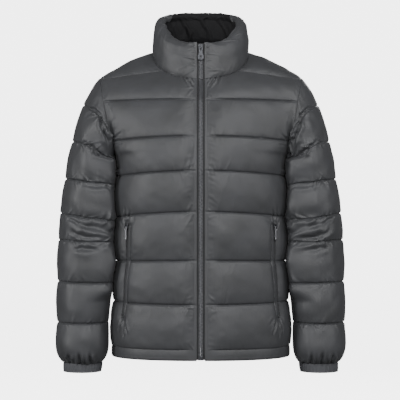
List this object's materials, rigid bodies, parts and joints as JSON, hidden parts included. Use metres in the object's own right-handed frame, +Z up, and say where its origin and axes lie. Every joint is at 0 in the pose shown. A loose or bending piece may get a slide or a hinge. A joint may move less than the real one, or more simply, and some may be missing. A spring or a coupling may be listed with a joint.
{
  "type": "puffer jacket",
  "caption": "Quilted puffer jacket with stand-up collar, zipped front and zipped side pockets, filled out as worn, hollow and open at neck, hem and cuffs.",
  "frame": {"origin": "midway between the two points where the shoulders meet the collar, where the worn jacket is carried", "axes": "+Z up, the front faces -Y, +X is the wearer's left"},
  "size_m": [0.6556, 0.2622, 0.8204],
  "materials": {
    "shell": "semi-matte woven nylon, dark grey",
    "cuff": "matte elastic binding, gathered, charcoal",
    "zip": "woven tape with a satin coil, grey",
    "metal": "satin gunmetal"
  },
  "bodies": {
    "jacket": {"back": "shell", "yoke": "shell", "front_left": "shell", "front_right": "shell", "sleeve_left": "shell", "sleeve_right": "shell", "collar": "shell", "hem_band": "shell", "cuff_left": "cuff", "cuff_right": "cuff", "pocket_welt_left": "shell", "pocket_welt_right": "shell", "front_zip_left": "zip", "front_zip_right": "zip", "pocket_zip_left": "zip", "pocket_zip_right": "zip", "front_zip_slider": "metal", "front_zip_box": "metal", "pocket_slider_left": "metal", "pocket_slider_right": "metal"},
    "front_pull": {"front_zip_pull": "metal"},
    "pocket_pull_left": {"pocket_pull_left": "metal"},
    "pocket_pull_right": {"pocket_pull_right": "metal"}
  },
  "joints": [
    {"name": "front_zip_pull", "type": "hinge", "parent": "jacket", "child": "front_pull", "pos_m": [0, -0.08501, 0.0055], "axis": [-1, 0, 0], "range_deg": [0, 165]},
    {"name": "pocket_pull_left", "type": "hinge", "parent": "jacket", "child": "pocket_pull_left", "pos_m": [0.16661, -0.08716, -0.39296], "axis": [-0.7207, -0.6933, 0], "range_deg": [0, 150]},
    {"name": "pocket_pull_right", "type": "hinge", "parent": "jacket", "child": "pocket_pull_right", "pos_m": [-0.16661, -0.08716, -0.39296], "axis": [-0.7207, 0.6933, 0], "range_deg": [0, 150]}
  ]
}
